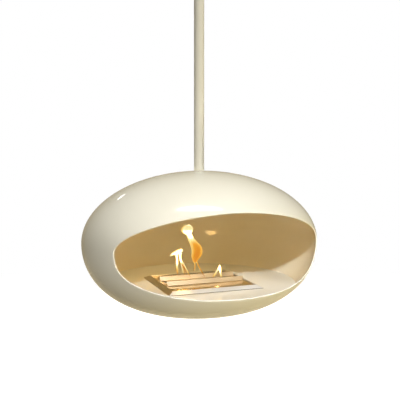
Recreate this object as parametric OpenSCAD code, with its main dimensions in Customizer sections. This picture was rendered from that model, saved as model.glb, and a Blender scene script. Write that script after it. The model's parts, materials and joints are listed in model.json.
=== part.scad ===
// Hanging ethanol fireplace: a flattened round pod on a ceiling pole.
// Origin at the ceiling, on the pole's axis. +Z up, the mouth faces -Y. Millimetres.

/* [Ceiling mount] */
// Diameter of the steel plate that is screwed to the ceiling
plate_d = 100; // [90:1:108]
// Thickness of the ceiling plate
plate_t = 5; // [4:0.5:8]
// Diameter of the circle on which the fixing holes lie
mount_pcd = 76; // [66:1:78]
// Diameter of each fixing hole
mount_hole_d = 6.5; // [5:0.5:8]
// How many fixing holes there are
mount_holes = 4; // [3:1:6]
// Length of the spigot that the pole slides over
spigot_l = 70; // [60:1:90]
// Outer diameter of the canopy
canopy_d = 124; // [118:1:160]
// Height of the canopy
canopy_h = 44; // [40:1:70]
// Sheet thickness of the canopy
canopy_wall = 1.5; // [1:0.25:3]
// Height of the collar that holds the canopy up
collar_h = 12; // [10:1:20]
// Radial thickness of the collar
collar_wall = 6; // [5:0.5:10]

/* [Pole] */
// Distance from the ceiling to the crown of the pod
drop = 1000; // [600:10:2500]
// Outer diameter of the pole
pole_d = 28; // [26:0.5:32]
// Wall of the pole
pole_wall = 2; // [1.5:0.25:3]
// Diameter of the cross bolt at the ceiling
cross_bolt_d = 6; // [5:0.5:8]

/* [Pod] */
// Diameter of the pod at its widest
pod_d = 650; // [600:5:800]
// Height of the crown above the widest level
crown_h = 195; // [170:1:260]
// Depth of the belly below the widest level
belly_h = 206; // [190:1:260]
// How much fuller than an ellipse the belly is
belly_fullness = 0.034; // [0:0.002:0.06]
// Thickness of the spun sheet
sheet = 3.5; // [2:0.25:6]
// How far the pod leans back, its mouth looking up
pod_tilt = 3.1; // [0:0.1:5]

/* [Mouth] */
// Width of the mouth
mouth_w = 558; // [500:2:570]
// Height of the mouth's middle above the widest level
mouth_mid = 4.7; // [0:0.1:12]
// Height of the mouth above its middle
mouth_rise = 100; // [80:1:120]
// Depth of the mouth below its middle
mouth_fall = 109; // [90:1:112]
// Roundness of the upper edge, where 2 is an ellipse
mouth_rise_power = 1.9; // [1.8:0.05:2.4]
// Roundness of the lower edge, where 2 is an ellipse
mouth_fall_power = 2.65; // [2:0.05:3]

/* [Swivel] */
// Diameter of the journal that turns in the thrust bearing
journal_d = 17; // [14:0.5:18]
// Outer diameter of the thrust bearing
bearing_d = 35; // [33:0.5:38]
// Thickness of one bearing race
race_t = 3.5; // [3:0.25:4.5]
// Diameter of a bearing ball
ball_d = 6; // [5:0.25:6]
// Least gap between two bearing balls
ball_gap = 0.75; // [0.5:0.05:3]
// Outer diameter of the bearing cup
cup_d = 66; // [62:1:80]
// Diameter of the flange that ties the cup to the crown
cup_flange_d = 110; // [96:1:130]
// Thickness of the guide bush round the pole
bush_t = 2; // [1.5:0.25:3]
// Across flats of the slotted nut that carries the pod
nut_af = 24; // [22:0.5:26]
// Height of the slotted nut
nut_h = 12; // [10:0.5:14]

/* [Hearth] */
// Depth of the hearth's surface below the widest level
hearth_drop = 117; // [112:1:130]
// Thickness of the hearth plate
hearth_t = 3; // [2:0.25:5]
// Radial overlap of each bracket tab under the hearth
tab_l = 50; // [40:1:60]
// Width of a bracket tab
tab_w = 32; // [26:1:44]
// Thickness of the bracket sheet
tab_t = 4; // [3:0.25:5]
// Angle of the brackets from the side
bracket_angle = 35; // [28:1:42]
// Diameter of the hearth's studs
stud_d = 6; // [5:0.5:8]

/* [Burner tray] */
// Width of the mitred bezel
tray_w = 267; // [245:1:280]
// Length of the bezel from front to back
tray_l = 247; // [235:1:256]
// How far the tray's middle lies behind the pole's axis
tray_y = -17.6; // [-25:0.1:0]
// Width of the sloping flange of the bezel
bezel_w = 16; // [12:0.5:18]
// Rise of the bezel from its outer edge to its ridge
bezel_rise = 8.5; // [6:0.25:12]
// Sheet thickness of the bezel, the well and the fuel box
steel_t = 1.5; // [1:0.25:2]
// Thickness of the deck inside the bezel, on which the slats stand
deck_t = 1.5; // [1:0.25:2.5]
// Gap between the well's lowest corner and the belly
well_gap = 4; // [3:0.5:8]

/* [Burner] */
// Gap between the well's sides and the ends of the slats and the fuel box
side_gap = 5.5; // [3:0.5:12]
// Width of the flame slot between the slats
slot_w = 63; // [50:1:68]
// How far the front slat's face lies before the tray's middle
slat_front = 34.9; // [28:0.1:40]
// Height of a slat
slat_h = 13; // [10:0.5:16]
// Thickness of a slat
slat_t = 3; // [2:0.25:4]
// Height of the slats' top above the bezel's ridge
slat_rise = 10; // [8:0.5:14]
// Thickness of the sliding damper
damper_t = 2; // [1.5:0.25:3]
// Height of the fuel box's feet
foot_h = 3; // [2:0.5:5]
// How far the open damper reaches into the slot, for its hook
hook_reach = 10; // [8:0.5:14]
// Diameter of the small screws
screw_d = 4; // [3:0.5:5]

/* [Hidden] */

$fn = 96;
pod_fn = 180;
eps = 0.01;

running = 0.05;  // radial clearance of a turning fit
loose = 0.5;     // clearance of pieces that only lie in place
free = 1;        // clearance of pieces that pass each other

// Levels, from the ceiling down. The pod's own pieces are drawn about its widest level.
pod_level = -(drop + crown_h);
crown_in = crown_h - sheet;
pole_top = -plate_t - loose;
pole_r = pole_d / 2;
bore_r = pole_r - pole_wall;

// Ceiling mount
cross_z = -plate_t - spigot_l / 2 + 5;    // level of the cross bolt
cross_head_h = 0.65 * cross_bolt_d;
cross_head_af = 1.6 * cross_bolt_d;
thread_end = 4;                           // a bolt's length past its nut
collar_z = -canopy_h - collar_h;
grub_d = 5;
grub_hex = 2.5;                           // across flats of the grub screw's socket
canopy_bend = 10;                         // radius of the canopy's lower edge

// Swivel, measured from the widest level of the pod
neck_l = 22;                              // the pole's length inside the crown
web_t = 5;                                // the cup's web, which carries the pod
pole_end = crown_in - neck_l;             // lower end of the pole
web_top = pole_end - loose;
race_top = web_top - web_t;               // underside of the web
groove_depth = 0.6;                       // depth of a ball groove
race_gap = ball_d - 2 * groove_depth;     // distance between the two races
ball_z = race_top - race_t - race_gap / 2;
lower_race_z = race_top - 2 * race_t - race_gap;
washer_t = 3;
nut_top = lower_race_z - washer_t;
journal_end = nut_top - nut_h - 4;
cover_top = journal_end - 3;
cover_t = 2.5;
cup_bore_r = bearing_d / 2 + loose;
cup_screw_r = (cup_bore_r + cup_d / 2) / 2;
ball_circle_r = (journal_d + bearing_d) / 4 + running;
ball_count = floor(2 * PI * ball_circle_r / (ball_d + ball_gap));
plug_l = 60;                              // length of the plug inside the pole
cover_screw_count = 3;
screw_head_h = 2.5;
screw_bite = 10;                          // length of a cover screw in the cup
flange_t = 9;                             // depth of the cup's flange under the crown
bush_l = neck_l - 3;
split_pin_d = 3;
split_pin_z = nut_top - nut_h + split_pin_d;
pin_d = 5;                                // the two pins through the pole and its plug
pin_pitch = 15;
pin_z = pod_level + pole_end + plug_l / 2;

// Hearth and tray, measured from the widest level of the pod
hearth_z = -hearth_drop;
ridge_z = hearth_z + bezel_rise;
well_w = tray_w - 2 * bezel_w;
well_l = tray_l - 2 * bezel_w;
well_front = tray_y - well_l / 2;
well_top = ridge_z - steel_t;
belly_table = [for (a = [0:3:90]) let (p = belly_point(a, sheet)) [p[0], p[1]]];
corner_r = norm([well_w / 2, well_front]);
well_floor = lookup(corner_r, belly_table) - well_front * sin(pod_tilt) + well_gap;
hole_w = well_w + 2 * (steel_t + free);
hole_l = well_l + 2 * (steel_t + free);
depth_table = [for (p = belly_table) [-p[1], p[0]]];
tab_end = 8;                              // how far the tab's end is drawn back
tab_z = hearth_z - hearth_t;
web_h = 22;                               // height of the web under a tab
stud_r = lookup(tab_t - tab_z, depth_table) - (tab_l + tab_end) / 2;
nut6_h = 0.8 * stud_d;
stud_l = tab_t + nut6_h + 2;
bracket_angles = [bracket_angle, 180 - bracket_angle, 180 + bracket_angle, -bracket_angle];

// Burner, measured from the widest level of the pod
slat_l = well_w - 2 * (steel_t + side_gap);
slat_top = ridge_z + slat_rise;
slat_base = slat_top - slat_h;
front_y = tray_y - slat_front;            // front face of the front slat
rear_y = front_y + slat_t + slot_w;       // front face of the rear slat
slat_lap = 2;                             // how far a slat's outer face stands past the box
box_front = front_y + slat_lap;
box_back = rear_y + slat_t - slat_lap;
box_l = box_back - box_front;
bead_r = 2;                               // the rolled bead on a slat's foot
bead_out = 1;                             // how far the bead stands before the face
rail_wall = 1.5;
rail_w = 8;
damper_gap = 0.3;
rail_top = slat_base - deck_t;
damper_top = rail_top - rail_wall - damper_gap;
rail_z = damper_top - damper_t - damper_gap;   // the damper runs on this level
box_top = rail_z - rail_wall;
box_base = well_floor + steel_t + foot_h;
rail_front = box_front + steel_t;
rail_back = well_front + well_l - steel_t - free;
damper_w = slat_l - 2 * (rail_wall + damper_gap);
damper_y = rear_y - hook_reach;           // the damper's front edge when open
damper_travel = damper_y - box_front - steel_t - free;
damper_lap = 4;                           // how far the shut damper reaches past the rear slat
damper_l = rear_y + slat_t + damper_lap - damper_y + damper_travel;
wool_top = box_top - 8;
screen_t = 1;
screen_hole_d = 8;
foot_d = 14;
slat_tab_t = 1.5;
slat_tab_l = 10;

cream = "#ece4cb";
steel = "#b9bbbd";
polished = "#d8d9d8";
dark = "#4a4a4a";

// ---- shapes that repeat ----

// Half profiles of the pod at the angle a above or below the widest level, inset by i
function crown_point(a, i) = [(pod_d / 2 - i) * cos(a), (crown_h - i) * sin(a)];
function belly_point(a, i) =
  [(pod_d / 2 - i) * cos(a),
   -(belly_h - i) * (sin(a) + belly_fullness * sin(3 * a)) / (1 - belly_fullness)];

module at_pod() {
  translate([0, 0, pod_level]) children();
}

module lean() {
  rotate([-pod_tilt, 0, 0]) children();
}

// The room inside the shells, inset by i from the outer skin
module cavity(i) {
  lean() rotate_extrude($fn = pod_fn)
    polygon(concat([for (a = [-90:3:0]) belly_point(-a, i)],
                   [for (a = [3:3:90]) crown_point(a, i)]));
}

// Signed power, for the mouth's outline
function spow(v, p) = sign(v) * pow(abs(v), p);

module mouth_outline() {
  polygon([for (a = [0:3:357])
    let (up = a < 180, p = 2 / (up ? mouth_rise_power : mouth_fall_power))
    [mouth_w / 2 * spow(cos(a), p),
     mouth_mid + (up ? mouth_rise : mouth_fall) * spow(sin(a), p)]]);
}

// The mouth, punched straight through the front of the pod
module mouth_cut() {
  rotate([90, 0, 0]) linear_extrude(height = pod_d) mouth_outline();
}

module tube(od, id, h) {
  difference() {
    cylinder(d = od, h = h);
    translate([0, 0, -1]) cylinder(d = id, h = h + 2);
  }
}

module hexagon(af, h) {
  cylinder(r = af / 2 / cos(30), h = h, $fn = 6);
}

module hex_nut(af, h, bore) {
  difference() {
    hexagon(af, h);
    translate([0, 0, -1]) cylinder(d = bore, h = h + 2);
  }
}

// A box from front y0 to back y1, centred across x
module slab(w, y0, y1, z0, z1) {
  translate([-w / 2, y0, z0]) cube([w, y1 - y0, z1 - z0]);
}

// ---- ceiling mount and pole ----

module ceiling_plate() {
  color(steel) difference() {
    translate([0, 0, -plate_t]) cylinder(d = plate_d, h = plate_t);
    for (i = [0:mount_holes - 1])
      rotate(45 + i * 360 / mount_holes) translate([mount_pcd / 2, 0, -plate_t - 1])
        cylinder(d = mount_hole_d, h = plate_t + 2);
  }
}

module ceiling_spigot() {
  color(steel) translate([0, 0, -plate_t - spigot_l]) difference() {
    cylinder(r = bore_r - running, h = spigot_l);
    translate([0, 0, cross_z + plate_t + spigot_l]) rotate([0, 90, 0])
      cylinder(d = cross_bolt_d + 2 * running, h = pole_d + 2, center = true);
  }
}

module cross_bolt() {
  color(dark) translate([-pole_r - cross_head_h, 0, cross_z]) rotate([0, 90, 0]) {
    hexagon(cross_head_af, cross_head_h);
    cylinder(d = cross_bolt_d, h = pole_d + 2 * cross_head_h + thread_end);
  }
}

module cross_nut() {
  color(dark) translate([pole_r, 0, cross_z]) rotate([0, 90, 0])
    hex_nut(cross_head_af, cross_head_h + 1, cross_bolt_d + 2 * running);
}

module canopy() {
  color(cream) rotate_extrude() difference() {
    canopy_half(0);
    canopy_half(canopy_wall);
    translate([0, -canopy_h - 1]) square([pole_r + loose, canopy_h + 2]);
  }
}

// Half section of the canopy, inset by i: a cup with its mouth at the ceiling and a round edge
module canopy_half(i) {
  r = canopy_d / 2 - i;
  h = canopy_h - i;
  bend = canopy_bend - i;
  translate([0, -h + bend]) square([r, h - bend]);
  translate([0, -h]) square([r - bend, h]);
  translate([r - bend, -h + bend]) circle(r = bend);
}

module canopy_collar() {
  color(cream) translate([0, 0, collar_z]) difference() {
    tube(pole_d + 2 * collar_wall, pole_d + 2 * running, collar_h);
    translate([0, 0, collar_h / 2]) rotate([0, 90, 0])
      cylinder(d = grub_d + 2 * running, h = pole_d);
  }
}

module collar_grub_screw() {
  color(dark) translate([pole_r, 0, collar_z + collar_h / 2]) rotate([0, 90, 0])
    difference() {
      cylinder(d = grub_d, h = collar_wall - loose);
      translate([0, 0, collar_wall / 2]) hexagon(grub_hex, collar_wall);
    }
}

module pole() {
  color(cream) difference() {
    translate([0, 0, pod_level + pole_end])
      tube(pole_d, 2 * bore_r, pole_top - pod_level - pole_end);
    translate([0, 0, cross_z]) rotate([0, 90, 0])
      cylinder(d = cross_bolt_d + 2 * running, h = pole_d + 2, center = true);
    plug_pin_holes();
  }
}

module plug_pin_holes() {
  for (i = [0, 1])
    translate([0, 0, pin_z + i * pin_pitch]) rotate([0, 90, 90 * i])
      cylinder(d = pin_d, h = pole_d + 2, center = true);
}

// ---- swivel ----

// Plug pinned into the pole's end, with the journal below it
module pole_plug() {
  color(steel) difference() {
    translate([0, 0, pod_level]) {
      translate([0, 0, pole_end]) cylinder(r = bore_r - running, h = plug_l);
      translate([0, 0, journal_end]) cylinder(d = journal_d, h = pole_end - journal_end + eps);
    }
    plug_pin_holes();
    translate([0, 0, pod_level + split_pin_z]) rotate([0, 90, 0])
      cylinder(d = split_pin_d + 2 * running, h = journal_d + 2, center = true);
  }
}

module plug_pins() {
  color(dark) intersection() {
    plug_pin_holes();
    translate([0, 0, pin_z - pin_d]) cylinder(r = pole_r - 0.3, h = pin_pitch + 2 * pin_d);
  }
}

module race(bore) {
  difference() {
    cylinder(d = bearing_d, h = race_t);
    translate([0, 0, -1]) cylinder(d = bore, h = race_t + 2);
    translate([0, 0, race_t + race_gap / 2]) rotate_extrude()
      translate([ball_circle_r, 0]) circle(r = ball_d / 2 + running, $fn = 48);
  }
}

module lower_race() {
  color(steel) at_pod() translate([0, 0, lower_race_z]) race(journal_d + 2 * running);
}

module upper_race() {
  color(steel) at_pod() translate([0, 0, race_top]) mirror([0, 0, 1])
    race(journal_d + 2 * free);
}

module race_washer() {
  color(steel) at_pod() translate([0, 0, nut_top])
    tube(bearing_d - 1, journal_d + 2 * running, washer_t);
}

module slotted_nut() {
  slot = split_pin_d + 0.4;
  slot_h = 2 * split_pin_d;
  color(steel) at_pod() translate([0, 0, nut_top - nut_h]) difference() {
    hex_nut(nut_af, nut_h, journal_d + 2 * running);
    for (a = [0, 60, 120])
      rotate(a) translate([-nut_af, -slot / 2, -1]) cube([2 * nut_af, slot, slot_h]);
  }
}

module split_pin() {
  color(steel) at_pod() translate([0, 0, split_pin_z]) rotate([0, 90, 0])
    cylinder(d = split_pin_d, h = nut_af + 2, center = true);
}

module ball_places() {
  for (i = [0:ball_count - 1])
    rotate(i * 360 / ball_count) translate([ball_circle_r, 0, ball_z]) children();
}

module ball_cage() {
  cage_t = 2;
  color("#c9a24a") at_pod() difference() {
    translate([0, 0, ball_z - cage_t / 2])
      tube(bearing_d - 1, journal_d + 2 * free, cage_t);
    ball_places() cylinder(d = ball_d + 0.3, h = cage_t + 2, center = true);
  }
}

module bearing_balls() {
  color(polished) at_pod() ball_places() sphere(d = ball_d, $fn = 32);
}

// Housing welded under the crown: the pod hangs on its web
module bearing_cup() {
  color(steel) at_pod() difference() {
    intersection() {
      union() {
        translate([0, 0, cover_top]) cylinder(d = cup_d, h = crown_h - cover_top);
        translate([0, 0, crown_in - flange_t]) cylinder(d = cup_flange_d, h = crown_h);
      }
      cavity(sheet);
    }
    translate([0, 0, web_top]) cylinder(r = pole_r + bush_t + running, h = crown_h);
    translate([0, 0, race_top - 1]) cylinder(d = journal_d + 2 * free, h = web_t + 2);
    translate([0, 0, cover_top - 1]) cylinder(r = cup_bore_r, h = race_top - cover_top + 1);
    cover_screw_places() translate([0, 0, cover_top - 1])
      cylinder(d = screw_d + 2 * running, h = screw_bite + 3);
  }
}

module cover_screw_places() {
  for (i = [0:cover_screw_count - 1])
    rotate(30 + i * 360 / cover_screw_count) translate([cup_screw_r, 0, 0]) children();
}

module pole_bush() {
  color("#e8e8e4") at_pod() translate([0, 0, pole_end])
    tube(2 * (pole_r + bush_t), 2 * (pole_r + running), bush_l);
}

module cup_cover() {
  color(steel) at_pod() difference() {
    translate([0, 0, cover_top - cover_t]) cylinder(d = cup_d, h = cover_t);
    cover_screw_places() translate([0, 0, cover_top - cover_t - 1])
      cylinder(d = screw_d + 2 * running, h = cover_t + 2);
  }
}

module cover_screws() {
  color(dark) at_pod() cover_screw_places() {
    translate([0, 0, cover_top - cover_t - screw_head_h])
      cylinder(d = 1.8 * screw_d, h = screw_head_h);
    translate([0, 0, cover_top - cover_t]) cylinder(d = screw_d, h = cover_t + screw_bite);
  }
}

// ---- pod ----

module upper_bowl() {
  color(cream) at_pod() difference() {
    lean() rotate_extrude($fn = pod_fn)
      polygon(concat([for (a = [0:3:90]) crown_point(a, 0)],
                     [for (a = [90:-3:0]) crown_point(a, sheet)]));
    mouth_cut();
    translate([0, 0, crown_in - neck_l]) cylinder(r = pole_r + free, h = 2 * neck_l);
  }
}

module lower_bowl() {
  color(cream) at_pod() difference() {
    lean() rotate_extrude($fn = pod_fn)
      polygon(concat([for (a = [0:3:90]) belly_point(a, 0)],
                     [for (a = [90:-3:0]) belly_point(a, sheet)]));
    mouth_cut();
  }
}

// ---- hearth ----

module hearth_plate() {
  color(cream) at_pod() difference() {
    intersection() {
      slab(pod_d, -pod_d / 2, pod_d / 2, hearth_z - hearth_t, hearth_z);
      cavity(sheet + loose);
    }
    slab(hole_w, tray_y - hole_l / 2, tray_y + hole_l / 2, hearth_z - hearth_t - 1, hearth_z + 1);
  }
}

module bracket_places() {
  for (a = bracket_angles)
    rotate(a) translate([stud_r, 0, tab_z]) children();
}

// Tabs with a web below, welded to the belly; the hearth's studs pass through them
module hearth_brackets() {
  color(cream) at_pod() intersection() {
    cavity(sheet);
    difference() {
      bracket_places() {
        translate([tab_end - tab_l / 2, -tab_w / 2, -tab_t]) cube([2 * tab_l, tab_w, tab_t]);
        translate([2 * stud_d, -tab_t / 2, -tab_t - web_h]) cube([2 * tab_l, tab_t, web_h]);
      }
      bracket_places() translate([0, 0, -tab_t - 1])
        cylinder(d = stud_d + 2 * running, h = tab_t + 2);
    }
  }
}

module hearth_studs() {
  color(steel) at_pod() bracket_places() translate([0, 0, -stud_l])
    cylinder(d = stud_d, h = stud_l);
}

module hearth_nuts() {
  color(steel) at_pod() bracket_places() translate([0, 0, -tab_t - nut6_h])
    hex_nut(1.65 * stud_d, nut6_h, stud_d + 2 * running);
}

// ---- burner tray ----

// One side of the bezel: the folded section along a length, cut at 45 degrees at both ends
module bezel_side(length, reach) {
  leg = 8;  // the skirt outside the well's rim
  intersection() {
    translate([length / 2, -reach, 0]) rotate([90, 0, -90]) linear_extrude(height = length)
      polygon([[0, 0], [-bezel_w, bezel_rise], [-bezel_w, -leg],
               [-bezel_w + steel_t, -leg], [-bezel_w + steel_t, bezel_rise - 2 * steel_t],
               [-3 * steel_t, 0]]);
    linear_extrude(height = 2 * reach, center = true)
      polygon([[-length / 2, -reach], [length / 2, -reach],
               [length / 2 - reach, 0], [-length / 2 + reach, 0]]);
  }
}

module tray_bezel() {
  color(polished) at_pod() translate([0, tray_y, hearth_z]) {
    bezel_side(tray_w, tray_l / 2);
    rotate(180) bezel_side(tray_w, tray_l / 2);
    rotate(90) bezel_side(tray_l, tray_w / 2);
    rotate(-90) bezel_side(tray_l, tray_w / 2);
  }
}

// Open pan of sheet, from the outer size, floor level and rim level
module pan(w, y0, y1, z0, z1, t) {
  difference() {
    slab(w, y0, y1, z0, z1);
    slab(w - 2 * t, y0 + t, y1 - t, z0 + t, z1 + 1);
  }
}

module tray_well() {
  color(steel) at_pod()
    pan(well_w, well_front, well_front + well_l, well_floor, well_top, steel_t);
}

// Plate inside the bezel, screwed down on the rails with the slats; the slot is cut out of it
module tray_deck() {
  color(polished) at_pod() difference() {
    slab(well_w - 2 * (steel_t + loose), well_front + steel_t + loose,
         well_front + well_l - steel_t - loose, rail_top, slat_base);
    slab(slat_l - 2 * rail_w, front_y + slat_t, rear_y, rail_top - 1, slat_base + 1);
    slat_screw_places() cylinder(d = screw_d + 2 * running, h = 20, center = true);
  }
}

// ---- burner ----

// The reservoir; its front wall rises to the deck
module fuel_box() {
  color(steel) at_pod() {
    pan(slat_l, box_front, box_back, box_base, box_top, steel_t);
    slab(slat_l, box_front, box_front + steel_t, box_top - eps, rail_top);
  }
}

module box_feet() {
  color(dark) at_pod()
    for (x = [-1, 1], y = [box_front + foot_d, box_back - foot_d])
      translate([x * (slat_l / 2 - foot_d), y, well_floor + steel_t])
        cylinder(d = foot_d, h = foot_h);
}

module ceramic_wool() {
  color("#f3f1ea") at_pod()
    slab(slat_l - 2 * (steel_t + loose), box_front + steel_t + loose,
         box_back - steel_t - loose, box_base + steel_t, wool_top);
}

module wool_screen() {
  holes = 16;
  rows = 4;
  pitch_x = (slat_l - 24) / holes;
  pitch_y = (box_l - 14) / rows;
  color(steel) at_pod() difference() {
    slab(slat_l - 2 * (steel_t + loose), box_front + steel_t + loose,
         box_back - steel_t - loose, wool_top, wool_top + screen_t);
    for (i = [0:holes - 1], j = [0:rows - 1])
      translate([(i - (holes - 1) / 2) * pitch_x,
                 (box_front + box_back) / 2 + (j - (rows - 1) / 2) * pitch_y, wool_top - 1])
        cylinder(d = screen_hole_d, h = screen_t + 2, $fn = 24);
  }
}

// Channels at both ends of the box, in which the damper's edges run
module slide_rails() {
  color(steel) at_pod() for (s = [0, 1]) mirror([s, 0, 0]) difference() {
    translate([slat_l / 2 - rail_w, rail_front, box_top])
      cube([rail_w, rail_back - rail_front, rail_top - box_top]);
    translate([slat_l / 2 - rail_w - 1, rail_front - 1, rail_z])
      cube([rail_w + 1 - rail_wall, rail_back - rail_front + 2, damper_top + damper_gap - rail_z]);
    slat_screw_places() cylinder(d = screw_d + 2 * running, h = 20, center = true);
  }
}

module slat_screw_places() {
  for (s = [-1, 1], y = [front_y, rear_y])
    translate([s * (slat_l - rail_w) / 2, y + slat_t + slat_tab_l / 2, slat_base]) children();
}

// An upright blade along the slot, with a bead along its foot and a tab at each end for its screw
module slat(y) {
  difference() {
    union() {
      slab(slat_l, y, y + slat_t, slat_base, slat_top);
      translate([-slat_l / 2, y + bead_r - bead_out, slat_base + bead_r]) rotate([0, 90, 0])
        cylinder(r = bead_r, h = slat_l);
      for (s = [-1, 1])
        translate([s * (slat_l - rail_w) / 2 - rail_w / 2, y + slat_t - eps, slat_base])
          cube([rail_w, slat_tab_l, slat_tab_t]);
    }
    slat_screw_places() cylinder(d = screw_d + 2 * running, h = 20, center = true);
  }
}

module front_slat() {
  color(polished) at_pod() slat(front_y);
}

module rear_slat() {
  color(polished) at_pod() slat(rear_y);
}

module slat_screws() {
  color(dark) at_pod() slat_screw_places() {
    translate([0, 0, slat_tab_t]) cylinder(d = 1.6 * screw_d, h = screw_d / 2);
    translate([0, 0, -deck_t - rail_wall])
      cylinder(d = screw_d, h = rail_wall + deck_t + slat_tab_t + eps);
  }
}

// Sliding lid, open behind the rear slat, with a hole near its front edge for the hook
module damper() {
  color(polished) at_pod() difference() {
    slab(damper_w, damper_y, damper_y + damper_l, damper_top - damper_t, damper_top);
    translate([0, damper_y + hook_reach / 2, damper_top - damper_t - 1])
      cylinder(d = hook_reach - 4, h = damper_t + 2);
  }
}

ceiling_plate();
ceiling_spigot();
cross_bolt();
cross_nut();
canopy();
canopy_collar();
collar_grub_screw();
pole();
pole_plug();
plug_pins();
lower_race();
race_washer();
slotted_nut();
split_pin();
ball_cage();
bearing_balls();
upper_race();
bearing_cup();
pole_bush();
cup_cover();
cover_screws();
upper_bowl();
lower_bowl();
hearth_plate();
hearth_brackets();
hearth_studs();
hearth_nuts();
tray_bezel();
tray_deck();
tray_well();
fuel_box();
box_feet();
ceramic_wool();
wool_screen();
slide_rails();
front_slat();
rear_slat();
slat_screws();
damper();
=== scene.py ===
# %% [markdown]
# # A hanging fireplace
# A round pod of painted steel hangs from the ceiling on a pole. Its oval mouth opens on a flat
# hearth with a tray of bright steel, in which an ethanol burner stands between two slats.
# The frame holds every working piece at its real size, in metres. This lesson dresses it: the
# frame's pieces get their finishes, and those that are seen from close by are modelled afresh.

# %% Load the frame
import json
import math

import bmesh
import bpy
import numpy as np
from mathutils import Matrix, Vector, noise

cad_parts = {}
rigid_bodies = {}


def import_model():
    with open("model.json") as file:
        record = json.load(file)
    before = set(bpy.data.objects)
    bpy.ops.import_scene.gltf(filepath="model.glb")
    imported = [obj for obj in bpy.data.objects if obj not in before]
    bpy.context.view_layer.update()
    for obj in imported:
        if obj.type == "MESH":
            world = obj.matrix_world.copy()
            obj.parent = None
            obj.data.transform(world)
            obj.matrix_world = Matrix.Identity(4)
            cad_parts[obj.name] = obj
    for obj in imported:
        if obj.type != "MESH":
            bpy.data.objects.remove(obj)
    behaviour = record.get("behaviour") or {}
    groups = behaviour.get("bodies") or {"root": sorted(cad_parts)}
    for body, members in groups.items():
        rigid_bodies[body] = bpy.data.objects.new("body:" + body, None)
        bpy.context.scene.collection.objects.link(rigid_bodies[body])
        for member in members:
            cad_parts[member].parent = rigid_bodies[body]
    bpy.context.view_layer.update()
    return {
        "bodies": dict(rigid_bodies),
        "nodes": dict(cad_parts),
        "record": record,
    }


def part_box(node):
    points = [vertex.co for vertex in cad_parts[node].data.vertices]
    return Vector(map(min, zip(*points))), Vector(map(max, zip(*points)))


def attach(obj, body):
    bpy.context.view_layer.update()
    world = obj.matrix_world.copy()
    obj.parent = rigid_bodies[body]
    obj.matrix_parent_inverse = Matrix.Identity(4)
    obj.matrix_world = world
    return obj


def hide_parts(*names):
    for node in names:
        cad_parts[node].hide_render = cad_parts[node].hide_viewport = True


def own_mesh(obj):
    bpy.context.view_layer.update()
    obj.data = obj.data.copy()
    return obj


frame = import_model()

# %% [markdown]
# ## The camera
# Distances are worked out from the pod's widest level, because the pod is what the picture
# shows. The hearth lies a known depth below that level, so its top gives the level. The camera
# stands a little to the left of the mouth, above the pod, and looks slightly down. It could be
# placed by hand in the viewport, but numbers measured from the pod's axis can be checked.

# %% Camera
HEARTH_DROP = 0.117
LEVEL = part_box("hearth_plate")[1].z + HEARTH_DROP  # the pod's widest level

CAMERA_TURN = math.radians(-20.09)  # round the pole from the front, to the left
CAMERA_DISTANCE = 1.814  # from the pole's axis
CAMERA_HEIGHT = 0.2738  # above the widest level
CAMERA_YAW = math.radians(-20.17)
CAMERA_PITCH = math.radians(5.06)
LENS = 58.87  # millimetres
SENSOR = 36  # millimetres
PICTURE = 400  # pixels, both ways

camera = bpy.data.objects.new("camera", bpy.data.cameras.new("camera"))
bpy.context.scene.collection.objects.link(camera)
bpy.context.scene.camera = camera
camera.data.sensor_width = SENSOR
camera.data.lens = LENS
camera.location = (
    math.sin(CAMERA_TURN) * CAMERA_DISTANCE,
    -math.cos(CAMERA_TURN) * CAMERA_DISTANCE,
    LEVEL + CAMERA_HEIGHT,
)
look = Vector((
    -math.sin(CAMERA_YAW) * math.cos(CAMERA_PITCH),
    math.cos(CAMERA_YAW) * math.cos(CAMERA_PITCH),
    -math.sin(CAMERA_PITCH),
))
camera.rotation_euler = look.to_track_quat("-Z", "Y").to_euler()
print("camera at", [round(v, 3) for v in camera.location])

# %% [markdown]
# ## Finishes
# Every finish is a Principled shader with patterns on Object coordinates, so they keep their
# real scale in metres and stay on the piece when it moves. A small class keeps the node code
# short: `add` makes a node and wires its sockets, and a plain number goes on the socket itself.

# %% A finish and its nodes
def colour(r, g, b):
    """A screen colour, 0 to 255, as the linear colour that Blender works with."""
    def linear(v):
        v /= 255
        return v / 12.92 if v <= 0.04045 else ((v + 0.055) / 1.055) ** 2.4
    return (linear(r), linear(g), linear(b), 1.0)


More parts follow.
